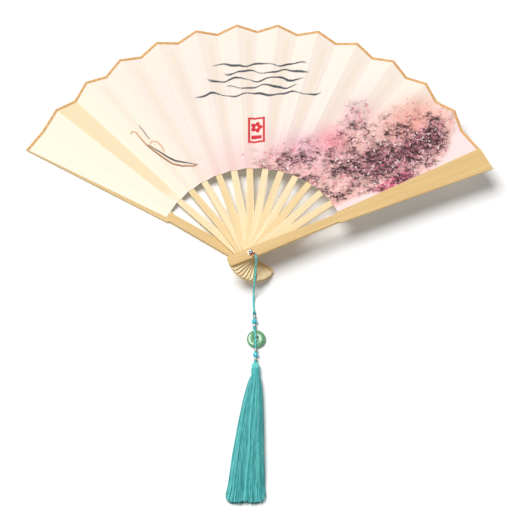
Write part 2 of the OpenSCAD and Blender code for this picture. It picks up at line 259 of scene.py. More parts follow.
# Glazed ceramic, dipped and fired: glassy coat over a turquoise body with small clouds of thinner glaze
def turquoise_glaze():
    made, tree, shader = new_material("turquoise_glazed_ceramic")
    place = add(tree, "ShaderNodeTexCoord")
    # Clouds in the glaze about 1.5 mm across
    cloud = add(tree, "ShaderNodeTexNoise", {"Scale": 700.0, "Detail": 4.0},
                {"Vector": place.outputs["Object"]})
    hue = add(tree, "ShaderNodeValToRGB",
              {"stops": [(0.3, "#2BB2C9"), (0.55, "#48CCDC"), (0.75, "#93E8EF")]},
              {"Fac": cloud.outputs["Fac"]})
    relief = add(tree, "ShaderNodeBump", {"Strength": 0.1, "Distance": 0.0001},
                 {"Height": cloud.outputs["Fac"]})
    tree.links.new(hue.outputs["Color"], shader.inputs["Base Color"])
    tree.links.new(relief.outputs[0], shader.inputs["Coat Normal"])
    set_shader(shader, Roughness=0.3, IOR=1.52, Coat_Weight=0.8, Coat_Roughness=0.06)
    return made


# Jade, ground and polished: waxy, lit from inside, with pale clouds and darker green veins
def polished_jade():
    made, tree, shader = new_material("polished_jade")
    place = add(tree, "ShaderNodeTexCoord")
    # Clouds about 3 mm across, pulled out along the bed of the stone
    bed = add(tree, "ShaderNodeMapping", {"Rotation": (0, 0, 0.6), "Scale": (330, 180, 330)},
              {"Vector": place.outputs["Object"]})
    cloud = add(tree, "ShaderNodeTexNoise",
                {"Scale": 1.0, "Detail": 5.0, "Roughness": 0.6, "Distortion": 0.8},
                {"Vector": bed.outputs[0]})
    hue = add(tree, "ShaderNodeValToRGB",
              {"stops": [(0.3, "#3F7A55"), (0.46, "#5C9A6D"), (0.6, "#7AB085"), (0.78, "#B4D6B6")]},
              {"Fac": cloud.outputs["Fac"]})
    tree.links.new(hue.outputs["Color"], shader.inputs["Base Color"])
    set_shader(shader, Roughness=0.16, IOR=1.61, Subsurface_Weight=0.35,
               Subsurface_Radius=(0.4, 1.0, 0.5), Subsurface_Scale=0.0025,
               Coat_Weight=0.3, Coat_Roughness=0.1)
    return made


# Rayon floss, spun and dyed: silky threads with a soft sheen, each a little lighter or darker than the next
def rayon(name, dark, middle, light, roughness):
    made, tree, shader = new_material(name)
    strand = add(tree, "ShaderNodeAttribute", {"attribute_name": "Strand"})
    along = add(tree, "ShaderNodeAttribute", {"attribute_name": "Along"})
    lanes = add(tree, "ShaderNodeCombineXYZ", links={"X": along.outputs["Fac"], "Y": strand.outputs["Fac"]})
    # Slubs in a thread about 8 mm long
    slub_map = add(tree, "ShaderNodeMapping", {"Scale": (0.12, 90, 1)}, {"Vector": lanes.outputs[0]})
    slub = add(tree, "ShaderNodeTexNoise", {"Scale": 1.0, "Detail": 2.0}, {"Vector": slub_map.outputs[0]})
    mixed = add(tree, "ShaderNodeMath", {"operation": "MULTIPLY_ADD", 1: 0.55},
                {0: strand.outputs["Fac"], 2: slub.outputs["Fac"]})
    hue = add(tree, "ShaderNodeValToRGB", {"stops": [(0.35, dark), (0.75, middle), (1.0, light)]},
              {"Fac": mixed.outputs[0]})
    # Twist of the filaments, one turn in about 0.9 mm
    twist = add(tree, "ShaderNodeMath", {"operation": "SINE"},
                {0: add(tree, "ShaderNodeMath", {"operation": "MULTIPLY", 1: 7.0},
                        {0: along.outputs["Fac"]}).outputs[0]})
    relief = add(tree, "ShaderNodeBump", {"Strength": 0.25, "Distance": 0.00008},
                 {"Height": twist.outputs[0]})
    tree.links.new(hue.outputs["Color"], shader.inputs["Base Color"])
    tree.links.new(relief.outputs[0], shader.inputs["Normal"])
    set_shader(shader, Roughness=roughness, IOR=1.52, Sheen_Weight=0.25, Sheen_Roughness=0.4,
               Sheen_Tint=linear("#C9FFFF"))
    return made


floss = rayon("rayon_floss_skirt", "#0C6D72", "#259D9D", "#5CCBC8", 0.44)
floss_core = rayon("rayon_floss_shaded", "#1C7C7E", "#239093", "#2BA0A0", 0.6)
cord_rayon = rayon("braided_rayon_cord", "#3DB2B2", "#5ACFCA", "#86E4E0", 0.45)
knot_rayon = rayon("knotted_rayon_cord", "#1F8C8E", "#36AAA9", "#56C4C2", 0.5)


# Silk cloth, printed: a fine plain weave, matt, with the picture soaked into the threads
def weave_relief(tree, shader, per_mm, strength):
    """Plain weave of crossing threads as relief, from the cloth's own UV map, and its links."""
    cloth = add(tree, "ShaderNodeUVMap", {"uv_map": "Cloth"})
    flat = add(tree, "ShaderNodeMapping", {"Scale": (250, 250, 1)}, {"Vector": cloth.outputs["UV"]})
    warp = add(tree, "ShaderNodeTexWave", {"bands_direction": "X", "Scale": per_mm, "Distortion": 0.6},
               {"Vector": flat.outputs[0]})
    weft = add(tree, "ShaderNodeTexWave", {"bands_direction": "Y", "Scale": per_mm, "Distortion": 0.6},
               {"Vector": flat.outputs[0]})
    both = add(tree, "ShaderNodeMath", {"operation": "ADD"},
               {0: warp.outputs["Fac"], 1: weft.outputs["Fac"]})
    relief = add(tree, "ShaderNodeBump", {"Strength": strength, "Distance": 0.0001},
                 {"Height": both.outputs[0]})
    tree.links.new(relief.outputs[0], shader.inputs["Normal"])
    return flat, both


def printed_silk():
    made, tree, shader = new_material("printed_silk_front")
    # Threads 0.25 mm apart; the real ones are finer and wouldn't show
    flat, weave = weave_relief(tree, shader, 0.64, 0.22)
    picture = add(tree, "ShaderNodeAttribute", {"attribute_name": "Print"})
    thicket = add(tree, "ShaderNodeAttribute", {"attribute_name": "Thicket"})
    # Brush wander of about 1.3 mm over 3 mm
    wander = add(tree, "ShaderNodeTexNoise", {"Scale": 0.34, "Detail": 3.0}, {"Vector": flat.outputs[0]})
    wandered = add(tree, "ShaderNodeVectorMath", {"operation": "MULTIPLY_ADD", 1: (6.5, 6.5, 0)},
                   {0: wander.outputs["Color"], 2: flat.outputs[0]})
    # Branches lean up to the right: the walls between long cells about 12 by 4 mm, and between small ones
    # of 2.2 mm
    leaning = add(tree, "ShaderNodeMapping", {"Rotation": (0, 0, -0.75), "Scale": (0.085, 0.24, 1)},
                  {"Vector": wandered.outputs[0]})
    limb = add(tree, "ShaderNodeTexVoronoi", {"feature": "DISTANCE_TO_EDGE", "Scale": 1.0},
               {"Vector": leaning.outputs[0]})
    twig = add(tree, "ShaderNodeTexVoronoi", {"feature": "DISTANCE_TO_EDGE", "Scale": 0.46},
               {"Vector": wandered.outputs[0]})
    limb_line = add(tree, "ShaderNodeMapRange",
                    {"From Min": 0.05, "From Max": 0.13, "To Min": 1.0, "To Max": 0.0},
                    {"Value": limb.outputs["Distance"]})
    twig_line = add(tree, "ShaderNodeMapRange",
                    {"From Min": 0.03, "From Max": 0.12, "To Min": 0.9, "To Max": 0.0},
                    {"Value": twig.outputs["Distance"]})
    lines = add(tree, "ShaderNodeMath", {"operation": "MAXIMUM"},
                {0: limb_line.outputs[0], 1: twig_line.outputs[0]})
    # Where the thicket is dense the branches show, in clumps about 12 mm across
    patch = add(tree, "ShaderNodeTexNoise", {"Scale": 0.085, "Detail": 4.0, "Roughness": 0.62},
                {"Vector": flat.outputs[0]})
    clump = add(tree, "ShaderNodeMapRange",
                {"From Min": 0.36, "From Max": 0.64, "To Min": -0.5, "To Max": 0.5},
                {"Value": patch.outputs["Fac"]})
    dense = add(tree, "ShaderNodeMath", {"operation": "ADD"},
                {0: thicket.outputs["Fac"], 1: clump.outputs[0]})
    branch_share = add(tree, "ShaderNodeMapRange", {"From Min": 0.1, "From Max": 0.7, "To Max": 0.95},
                       {"Value": dense.outputs[0]})
    held = add(tree, "ShaderNodeMapRange", {"From Min": 0.04, "From Max": 0.3},
               {"Value": thicket.outputs["Fac"]})
    branch_here = add(tree, "ShaderNodeMath", {"operation": "MULTIPLY"},
                      {0: branch_share.outputs[0], 1: held.outputs[0]})
    branch_mask = add(tree, "ShaderNodeMath", {"operation": "MULTIPLY"},
                      {0: lines.outputs[0], 1: branch_here.outputs[0]})
    # Shade of plum under the densest clumps
    plum_share = add(tree, "ShaderNodeMapRange", {"From Min": 0.35, "From Max": 1.25, "To Max": 0.62},
                     {"Value": dense.outputs[0]})
    plum_here = add(tree, "ShaderNodeMath", {"operation": "MULTIPLY"},
                    {0: plum_share.outputs[0], 1: held.outputs[0]})
    plum = add(tree, "ShaderNodeMix", {"data_type": "RGBA", 7: linear("#8C5163")},
               {0: plum_here.outputs[0], 6: picture.outputs["Color"]})
    branched = add(tree, "ShaderNodeMix", {"data_type": "RGBA", 7: linear("#34161F")},
                   {0: branch_mask.outputs[0], 6: plum.outputs[2]})
    # Petals: dabs in cells 2 mm across, most of them pink, some pale or plum
    dab = add(tree, "ShaderNodeTexVoronoi", {"feature": "F1", "Scale": 0.5}, {"Vector": wandered.outputs[0]})
    dab_random = add(tree, "ShaderNodeSeparateColor", links={"Color": dab.outputs["Color"]})
    dab_hue = add(tree, "ShaderNodeValToRGB",
                  {"stops": [(0.0, "#FBE4E2"), (0.14, "#F6C6CA"), (0.5, "#F0A0AA"), (0.74, "#DE6E88"),
                             (0.92, "#A8607C")]},
                  {"Fac": dab_random.outputs["Red"]})
    dab_hue.color_ramp.interpolation = "CONSTANT"
    dab_spot = add(tree, "ShaderNodeMapRange",
                   {"From Min": 0.3, "From Max": 0.55, "To Min": 1.0, "To Max": 0.0},
                   {"Value": dab.outputs["Distance"]})
    # Petals gather where the clumps of branches are thin
    dab_share = add(tree, "ShaderNodeMath", {"operation": "MULTIPLY_ADD", 1: -0.75, 2: 0.52},
                    {0: clump.outputs[0]})
    dab_held = add(tree, "ShaderNodeMath", {"operation": "MULTIPLY"},
                   {0: dab_share.outputs[0], 1: held.outputs[0]})
    dab_here = add(tree, "ShaderNodeMath", {"operation": "LESS_THAN"},
                   {0: dab_random.outputs["Green"], 1: dab_held.outputs[0]})
    dab_mask = add(tree, "ShaderNodeMath", {"operation": "MULTIPLY"},
                   {0: dab_spot.outputs[0], 1: dab_here.outputs[0]})
    dab_soft = add(tree, "ShaderNodeMath", {"operation": "MULTIPLY", 1: 0.8}, {0: dab_mask.outputs[0]})
    dabbed = add(tree, "ShaderNodeMix", {"data_type": "RGBA"},
                 {0: dab_soft.outputs[0], 6: branched.outputs[2], 7: dab_hue.outputs["Color"]})
    # Painted shade: the gaps between the threads are a touch darker than the threads' tops
    shade = add(tree, "ShaderNodeMapRange", {"From Max": 2.0, "To Min": 0.97, "To Max": 1.02},
                {"Value": weave.outputs[0]})
    woven = add(tree, "ShaderNodeVectorMath", {"operation": "SCALE"},
                {0: dabbed.outputs[2], "Scale": shade.outputs[0]})
    tree.links.new(woven.outputs[0], shader.inputs["Base Color"])
    set_shader(shader, Roughness=0.78, IOR=1.45, Sheen_Weight=0.12, Sheen_Roughness=0.5)
    return made


def plain_silk():
    made, tree, shader = new_material("plain_silk_back")
    flat, weave = weave_relief(tree, shader, 0.64, 0.22)
    # Uneven sizing of the cloth in clouds about 25 mm across
    cloud = add(tree, "ShaderNodeTexNoise", {"Scale": 0.04, "Detail": 3.0}, {"Vector": flat.outputs[0]})
    hue = add(tree, "ShaderNodeValToRGB", {"stops": [(0.3, "#FBF1E0"), (0.7, "#F5E6D2")]},
              {"Fac": cloud.outputs["Fac"]})
    tree.links.new(hue.outputs["Color"], shader.inputs["Base Color"])
    set_shader(shader, Roughness=0.8, IOR=1.45, Sheen_Weight=0.12, Sheen_Roughness=0.5)
    return made


# Edging tape, woven and folded over the edge: golden brown with a fine twill and slight gloss
def woven_tape():
    made, tree, shader = new_material("woven_edging_tape")
    # Ridges 0.5 mm apart
    flat, weave = weave_relief(tree, shader, 0.32, 0.4)
    cloud = add(tree, "ShaderNodeTexNoise", {"Scale": 0.5, "Detail": 3.0}, {"Vector": flat.outputs[0]})
    hue = add(tree, "ShaderNodeValToRGB",
              {"stops": [(0.3, "#C98F4F"), (0.55, "#DDA968"), (0.75, "#EBC188")]},
              {"Fac": cloud.outputs["Fac"]})
    tree.links.new(hue.outputs["Color"], shader.inputs["Base Color"])
    set_shader(shader, Roughness=0.55, IOR=1.48, Sheen_Weight=0.1)
    return made


silk_front = printed_silk()
silk_back = plain_silk()
edging = woven_tape()
ceramic = turquoise_glaze()
jade_stone = polished_jade()


# --- Threads: one Geometry Nodes tree lays a round thread on every guide line
def thread_tree():
    tree = bpy.data.node_groups.new("Thread on guide lines", "GeometryNodeTree")
    face = tree.interface
    face.new_socket(name="Guides", in_out="INPUT", socket_type="NodeSocketGeometry")
    face.new_socket(name="Thread Radius", in_out="INPUT", socket_type="NodeSocketFloat")
    face.new_socket(name="Sides", in_out="INPUT", socket_type="NodeSocketInt")
    face.new_socket(name="Finish", in_out="INPUT", socket_type="NodeSocketMaterial")
    face.new_socket(name="Threads", in_out="OUTPUT", socket_type="NodeSocketGeometry")
    given = add(tree, "NodeGroupInput")
    girth = add(tree, "GeometryNodeInputNamedAttribute", {"data_type": "FLOAT", "Name": "Girth"})
    lines = add(tree, "GeometryNodeMeshToCurve", links={"Mesh": given.outputs["Guides"]})
    sized = add(tree, "GeometryNodeSetCurveRadius",
                links={"Curve": lines.outputs["Curve"], "Radius": girth.outputs["Attribute"]})
    ring = add(tree, "GeometryNodeCurvePrimitiveCircle",
               links={"Resolution": given.outputs["Sides"], "Radius": given.outputs["Thread Radius"]})
    laid = add(tree, "GeometryNodeCurveToMesh", {"Fill Caps": True},
               {"Curve": sized.outputs["Curve"], "Profile Curve": ring.outputs["Curve"]})
    if "Scale" in laid.inputs:
        tree.links.new(girth.outputs["Attribute"], laid.inputs["Scale"])
    smooth = add(tree, "GeometryNodeSetShadeSmooth", links={"Geometry": laid.outputs["Mesh"]})
    real = add(tree, "GeometryNodeRealizeInstances", links={"Geometry": smooth.outputs["Geometry"]})
    finish = add(tree, "GeometryNodeSetMaterial",
                 links={"Geometry": real.outputs["Geometry"], "Material": given.outputs["Finish"]})
    add(tree, "NodeGroupOutput", links={"Threads": finish.outputs["Geometry"]})
    return tree


THREAD_TREE = thread_tree()


def new_object(name, mesh, material=None):
    made = bpy.data.objects.new(name, mesh)
    bpy.context.scene.collection.objects.link(made)
    if material is not None:
        mesh.materials.clear()
        mesh.materials.append(material)
    return made


def finished(made, body, slot, *nodes):
    """Gives a piece its body, and hides the CAD nodes that it stands for. The slot is not used."""
    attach(made, body)
    if nodes:
        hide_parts(*nodes)
    return made


def baked(holder, tree, values):
    """A plain mesh object from a Geometry Nodes tree run on holder."""
    runner = holder.modifiers.new("maker", "NODES")
    runner.node_group = tree
    for item in tree.interface.items_tree:
        if item.in_out == "INPUT" and item.name in values:
            runner[item.identifier] = values[item.name]
    graph = bpy.context.evaluated_depsgraph_get()
    mesh = bpy.data.meshes.new_from_object(
        holder.evaluated_get(graph), preserve_all_data_layers=True, depsgraph=graph)
    name = holder.name
    holder.modifiers.remove(runner)
    bpy.data.objects.remove(holder)
    return new_object(name, mesh)


def threads(name, guides, radius, sides, material):
    """Threads of one radius in millimetres on guides, each (points, girth, closed)."""
    points, edges, girths, strands, alongs = [], [], [], [], []
    for line, girth, closed in guides:
        line = np.asarray(line, float)
        first, count = len(points), len(line)
        steps = np.linalg.norm(np.diff(line, axis=0), axis=1)
        points.extend(line * MM)
        edges.extend((first + k, first + k + 1) for k in range(count - 1))
        if closed:
            edges.append((first + count - 1, first))
        girths.extend(np.broadcast_to(girth, count))
        strands.extend([chance.random()] * count)
        alongs.extend(np.concatenate([[0.0], np.cumsum(steps)]))
    mesh = bpy.data.meshes.new(name)
    mesh.from_pydata([tuple(p) for p in points], edges, [])
    for key, values in (("Girth", girths), ("Strand", strands), ("Along", alongs)):
        mesh.attributes.new(key, "FLOAT", "POINT").data.foreach_set("value", np.array(values, np.float32))
    holder = new_object(name + "_guides", mesh)
    bpy.context.view_layer.update()
    made = baked(holder, THREAD_TREE, {"Thread Radius": radius * MM, "Sides": sides, "Finish": material})
    made.name = name
    return made


def smooth_route(points, step):
    """Points along a smooth line through the given ones, about step apart."""
    p = np.array(points, float)
    p = np.vstack([2 * p[0] - p[1], p, 2 * p[-1] - p[-2]])
    out = []
    for k in range(1, len(p) - 2):
        count = max(2, int(np.linalg.norm(p[k + 1] - p[k]) / step))
        for u in np.arange(count) / count:
            out.append(0.5 * (2 * p[k] + (p[k + 1] - p[k - 1]) * u
                              + (2 * p[k - 1] - 5 * p[k] + 4 * p[k + 1] - p[k + 2]) * u ** 2
                              + (3 * p[k] - p[k - 1] - 3 * p[k + 1] + p[k + 2]) * u ** 3))
    out.append(p[-2])
    return np.array(out)


def frames_along(route):
    """Unit heading and two square directions at each point, carried along without twisting."""
    heading = np.gradient(route, axis=0)
    heading /= np.linalg.norm(heading, axis=1)[:, None]
    side = np.cross(heading[0], UP)
    side /= np.linalg.norm(side)
    sides = []
    for t in heading:
        side = side - (side @ t) * t
        side /= np.linalg.norm(side)
        sides.append(side)
    sides = np.array(sides)
    return heading, sides, np.cross(heading, sides)


def wound(route, radius, turns, phase=0.0):
    """A line wound round a route, with a radius at each point and this many turns."""
    _, a, b = frames_along(route)
    way = np.concatenate([[0.0], np.cumsum(np.linalg.norm(np.diff(route, axis=0), axis=1))])
    angle = phase + 2 * math.pi * turns * way / way[-1]
    radius = np.broadcast_to(radius, len(route))[:, None]
    return route + radius * (np.cos(angle)[:, None] * a + np.sin(angle)[:, None] * b)


# --- Cord: three plies of braided rayon laid together, from the link to the tassel's head
cord_line = smooth_route(CORD_ROUTE, 0.4)
cord_long = float(np.linalg.norm(np.diff(cord_line, axis=0), axis=1).sum())
PLY_LAY = 4.2
plies = [
    (wound(cord_line, CORD * 0.25, cord_long / PLY_LAY, k * 2 * math.pi / 3), 1.0, False)
    for k in range(3)
]
cord = threads("tassel_cord_plies", plies, CORD * 0.27, 8, cord_rayon)
finished(cord, "tassel", "cord_thread", "tassel_cord")


# --- Turned pieces: a profile spun round an axis
def spun(name, profile, places, material, around=48, axis="Z", closed=False):
    """A profile of (radius, height) in millimetres spun at each place.

    A closed profile has a bore; an open one starts and ends on the axis."""
    work = bmesh.new()
    for place in places:
        rings = []
        for radius, height in profile:
            if radius < 1e-6:
                rings.append([work.verts.new(turned_point(0, 0, height, place, axis))])
                continue
            rings.append([
                work.verts.new(turned_point(
                    radius * math.cos(2 * math.pi * k / around), radius * math.sin(2 * math.pi * k / around),
                    height, place, axis))
                for k in range(around)])
        pairs = list(zip(rings, rings[1:] + rings[:1])) if closed else list(zip(rings, rings[1:]))
        for low, high in pairs:
            for k in range(around):
                j = (k + 1) % around
                corners = [low[k % len(low)], low[j % len(low)], high[j % len(high)], high[k % len(high)]]
                kept = [c for n, c in enumerate(corners) if c not in corners[:n]]
                if len(kept) > 2:
                    work.faces.new(kept)
    bmesh.ops.recalc_face_normals(work, faces=work.faces)
    mesh = bpy.data.meshes.new(name)
    work.to_mesh(mesh)
    work.free()
    mesh.shade_smooth()
    mesh.set_sharp_from_angle(angle=math.radians(38))
    return new_object(name, mesh, material)


def turned_point(x, y, h, place, axis):
    if axis == "Y":
        x, y, h = x, -h, y
    return (np.array([x, y, h]) + np.array(place)) * MM


def bored_profile(radius, bore, steps=18):
    """Outline of a round bead with a bore, with the bore's mouths softened."""
    edge = math.asin(bore / radius)
    arc = [
        (radius * math.sin(a), radius * math.cos(a))
        for a in np.linspace(edge + 0.12, math.pi - edge - 0.12, steps)
    ]
    half = radius * math.cos(edge)
    upper = [(bore, half - 0.25), (bore + 0.08, half - 0.06)]
    lower = [(bore + 0.08, 0.06 - half), (bore, 0.25 - half)]
    return upper + arc + lower


BORE = CORD / 2 + 0.05
beads = finished(spun("glazed_beads", bored_profile(2.3, BORE), BEADS, ceramic, 48, "Y", True),
                 "tassel", "turquoise_glaze", "round_beads")
# Pressed metal spacers with a raised rim at each end and a groove between
spacer_profile = [(BORE, 0.6), (1.2, 0.7), (1.48, 0.64), (1.6, 0.48), (1.58, 0.3), (1.42, 0.16), (1.38, 0.0),
                  (1.42, -0.16), (1.58, -0.3), (1.6, -0.48), (1.48, -0.64), (1.2, -0.7), (BORE, -0.6)]
spacers = finished(spun("pressed_spacers", spacer_profile, SPACERS, silver, 36, "Y", True),
                   "tassel", "silver_metal", "spacer_beads")
# Jade disc with rounded edges and a shallow dished face round its hole
jade_profile = [
    (1.8, 1.0), (1.86, 0.55), (2.3, 0.22), (3.2, 0.12), (4.8, 0.05), (6.0, 0.1), (6.9, 0.4), (7.4, 0.95),
    (7.6, 1.6), (7.4, 2.25), (6.9, 2.8), (6.0, 3.1), (4.8, 3.15), (3.2, 3.08), (2.3, 2.98), (1.86, 2.65),
    (1.8, 2.2)
]
jade = finished(spun("jade_ring", jade_profile, [JADE], jade_stone, 72, "Z", True),
                "tassel", "jade", "jade_disc")
# Rivet: a polished ball with a short collar where it meets the link
BALL_Z = LINK_Z + math.sqrt((BALL / 2 + LINK_WIRE / 2 + 0.08) ** 2 - LINK_EYE ** 2)
ball_arc = [
    (BALL / 2 * math.sin(a), -BALL / 2 * math.cos(a)) for a in np.linspace(0.66, math.pi - 0.01, 24)
]
ball_profile = [(0, -1.62), (0.9, -1.6), (1.02, -1.48)] + ball_arc + [(0, BALL / 2)]
finished(spun("rivet_ball_polished", ball_profile, [(0, 0, BALL_Z)], nickel, 56),
         "front_guard", "rivet_metal", "rivet_ball")

# Knots: the cord wound on itself in a barrel
knots = []
for n, place in enumerate(KNOTS):
    near = int(np.argmin(np.abs(cord_line[:, 1] - place[1])))
    stretch = cord_line[max(0, near - 4):near + 5]
    core = smooth_route(stretch, 0.06)
    bulge = np.sin(np.linspace(0.55, math.pi - 0.55, len(core)))
    knots.append((wound(core, 0.5 + 0.42 * bulge, 3.2, n), 1.0, False))
    knots.append((wound(core, 0.5 + 0.42 * bulge, -3.2, n + 2.0), 0.85, False))
cord_knots = threads("cord_knots_barrel", knots, 0.42, 8, knot_rayon)
finished(cord_knots, "tassel", "cord_thread", "cord_knots")
# Whipping that ties the cord to the wire link
loop_middle = np.array([LINK_REACH, 0.0])
whip = []
for share in np.linspace(-0.62, 0.62, 40):
    x, y = loop_middle + LINK_LOOP * np.array([math.cos(share), math.sin(share)])
    turn = math.radians(LINK_TURN)
    whip.append([x * math.cos(turn) - y * math.sin(turn), x * math.sin(turn) + y * math.cos(turn), LINK_Z])
whip = smooth_route(whip, 0.02)
whipping = threads("link_whipping", [(wound(whip, LINK_WIRE / 2 + 0.2, 6), 1.0, False)], 0.24, 8, knot_rayon)
finished(whipping, "tassel", "cord_thread")


# --- Tassel: cap of folded threads, binding and skirt
def round_head(share, around, radius):
    """A point on the rounded head, from its mouth at share 0 down to the binding at share 1."""
    long = BINDING_START - CAP_START
    arc = math.pi / 2 * min(1.0, share / 0.62)
    out = BORE + 0.1 + (radius - BORE - 0.1) * math.sin(arc)
    if share < 0.62:
        deep = radius * (1 - math.cos(arc))
    else:
        deep = radius + (abs(long) - radius) * (share - 0.62) / 0.38
    return [TASSEL_X + out * math.cos(around), CAP_START - deep, TASSEL_Z + out * math.sin(around)]


HEAD_THREADS = 44
HEAD_TURNS = 2 * math.pi / HEAD_THREADS
cap_guides = [
    ([round_head(s, HEAD_TURNS * k + 0.12 * s, 2.92) for s in np.linspace(0, 1, 14)], 1.0, False)
    for k in range(HEAD_THREADS)
]
cap = threads("tassel_cap_threads", cap_guides, 0.27, 6, cord_rayon)
finished(cap, "tassel", "tassel_thread", "tassel_cap")
head_profile = [
    (BORE, -0.7), (1.6, -0.5), (2.4, -1.0), (2.85, -2.2), (2.88, -3.2), (2.88, -11.5), (BORE, -11.5)
]
head_core = finished(spun("tassel_head_core", [(r, -h) for r, h in head_profile],
                          [(TASSEL_X, CAP_START, TASSEL_Z)], floss_core, 40, "Y", True),
                     "tassel", "tassel_thread")
BIND_PITCH = 0.56
bind_line = np.array([
    [TASSEL_X, y, TASSEL_Z] for y in np.linspace(BINDING_START - 0.2, SKIRT_START + 0.1, 420)
])
bind_turns = abs(SKIRT_START - BINDING_START) / BIND_PITCH
bind_wraps = [(wound(bind_line, 3.16, bind_turns), 1.0, False)]
binding = threads("tassel_binding_thread", bind_wraps, 0.32, 7, knot_rayon)
finished(binding, "tassel", "tassel_thread", "tassel_binding")


def skirt_half(share):
    flare = np.clip((share - 0.86) / 0.14, 0, 1)
    return 3.0 + 12.3 * share ** 0.6 + 1.7 * flare ** 1.5


def skirt_lie(share):
    return TASSEL_X - 8.2 * share ** 0.85


def skirt_depth(share):
    return (3.2 + 1.2 * share ** 0.7) * (1 - 0.62 * smooth_step(0.72, 1.0, share))


def skirt_thread(around, depth, long, waves):
    """The guide of one thread of the skirt, lying on the table."""
    share = np.linspace(0, 1, 30) * long
    out = math.copysign(abs(math.cos(around)) ** 0.85, math.cos(around)) * depth
    rise = math.sin(around) * depth
    sway = sum(a * np.sin(f * share * 2 * math.pi + p) for a, f, p in waves) * share ** 0.8
    x = skirt_lie(share) + skirt_half(share) * out + sway
    z = skirt_depth(share) * (1 + rise) + 0.3 + 0.35 * sway * math.sin(around)
    y = SKIRT_START + 0.6 - (SKIRT_LENGTH + 1.2) * share
    return np.stack([x, y, np.maximum(z, 0.4)], axis=1), 0.62 + 0.42 * share


skirt_guides = []
LOCKS = 26
lock_waves = [
    [
        (chance.uniform(0.2, 0.9), chance.uniform(0.4, 1.3), chance.uniform(0, 6.28)),
        (chance.uniform(0.1, 0.35), chance.uniform(1.6, 3.0), chance.uniform(0, 6.28))
    ]
    for _ in range(LOCKS)
]
for depth, count in ((1.0, 330), (0.84, 120)):
    for k in range(count):
        around = 2 * math.pi * (k + chance.uniform(-0.4, 0.4)) / count
        lock = lock_waves[int(around / (2 * math.pi) * LOCKS + chance.uniform(-0.5, 0.5)) % LOCKS]
        own = [(chance.uniform(0, 0.3), chance.uniform(0.5, 2.2), chance.uniform(0, 6.28))]
        edge = abs(math.cos(around)) ** 6
        long = 1.0 - 0.055 * edge + chance.uniform(-0.012, 0.008)
        line, girth = skirt_thread(around, depth * chance.uniform(0.93, 1.0), long, lock + own)
        skirt_guides.append((line, girth, False))
skirt = threads("tassel_skirt_threads", skirt_guides, 0.36, 5, floss)
finished(skirt, "tassel", "tassel_thread", "tassel_skirt")


def skirt_core_mesh():
    """A closed bundle that fills the skirt under its outer threads."""
    work = bmesh.new()
    rings = []
    for share in np.linspace(0.0, 0.93, 34):
        rings.append([
            work.verts.new((
                (skirt_lie(share) + 0.8 * skirt_half(share) * math.cos(a)) * MM,
                (SKIRT_START - SKIRT_LENGTH * share) * MM,
                (skirt_depth(share) * (1 + 0.78 * math.sin(a)) + 0.3) * MM))
            for a in np.linspace(0, 2 * math.pi, 33)[:-1]
        ])
    for low, high in zip(rings, rings[1:]):
        for k in range(32):
            work.faces.new([low[k], low[(k + 1) % 32], high[(k + 1) % 32], high[k]])
    work.faces.new(rings[0])
    work.faces.new(rings[-1])
    bmesh.ops.recalc_face_normals(work, faces=work.faces)
    mesh = bpy.data.meshes.new("tassel_skirt_core")
    work.to_mesh(mesh)
    work.free()
    mesh.shade_smooth()
    return mesh


finished(new_object("tassel_skirt_core", skirt_core_mesh(), floss_core), "tassel", "tassel_thread")


# --- Sticks: the CAD outlines with eased edges and grain along each stick
def eased(node, turn, material, slot, body, ease, tone, edge=None):
    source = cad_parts[node]
    work = bmesh.new()
    work.from_mesh(source.data)
    bmesh.ops.remove_doubles(work, verts=work.verts, dist=1e-6)
    bmesh.ops.dissolve_limit(work, angle_limit=math.radians(0.5), verts=work.verts, edges=work.edges)
    mesh = bpy.data.meshes.new(node + "_eased")
    grain = work.loops.layers.uv.new("Grain")
    c, s = math.cos(math.radians(turn)), math.sin(math.radians(turn))
    start = chance.uniform(0, 40)
    sides = []
    for face in work.faces:
        face.smooth = True
        flat = abs(face.normal.z) > 0.6
        sides.append(0 if flat else 1)
        end_on = not flat and abs(face.normal.x * c + face.normal.y * s) > 0.8
        for loop in face.loops:
            x, y, z = (v / MM for v in loop.vert.co)
            along, across = x * c + y * s, -x * s + y * c
            # 100 mm to one UV unit; each stick is cut from another place in the board
            if end_on:
                loop[grain].uv = (start + across / 100, start + z / 100)
            else:
                loop[grain].uv = (start + along / 100, start + (across if flat else z + 30) / 100)
    work.to_mesh(mesh)
    work.free()
    mesh.set_sharp_from_angle(angle=math.radians(30))
    mesh.attributes.new("Tone", "FLOAT", "POINT").data.foreach_set(
        "value", np.full(len(mesh.vertices), tone, np.float32))
    made = new_object(node + "_eased", mesh, material)
    if edge is not None:
        mesh.materials.append(edge)
        mesh.polygons.foreach_set("material_index", np.array(sides, np.int32))
    bevel = made.modifiers.new("eased edges", "BEVEL")
    bevel.width = ease * MM
    bevel.segments = 2
    bevel.limit_method = "ANGLE"
    bevel.angle_limit = math.radians(50)
    return finished(made, body, slot, node)


for i in range(1, RIBS + 1):
    tone = (0.04 if i % 2 else 0.4) + chance.uniform(-0.1, 0.12)
    eased(numbered("rib", i), stick_turn(i), rib_wood, "rib_wood", stick_body(i), 0.1, tone, shaded_edge_wood)
eased("front_guard", stick_turn(FRONT), guard_wood, "guard_wood", "front_guard", 0.3, 0.2)
eased("back_guard", stick_turn(0), guard_wood, "guard_wood", "back_guard", 0.3, 0.1)

metal_nodes = (
    ("rivet_pin", nickel), ("front_washer", nickel), ("back_washer", nickel), ("tassel_link", copper)
)
for node, material in metal_nodes:
    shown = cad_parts[node]
    shown.data.materials.clear()
    shown.data.materials.append(material)


# --- Leaf: printed cloth, pleated, glued on the sticks at every other panel
def leaf_base(i):
    if i == 0:
        return GUARD_THICK - RELIEF
    if i == FRONT:
        return layer_floor(FRONT) + RELIEF - LEAF_THICK
    return layer_floor(i) + RIB_THICK / 2 + SLIP_THICK / 2 / math.cos(LEAF_LEAN)


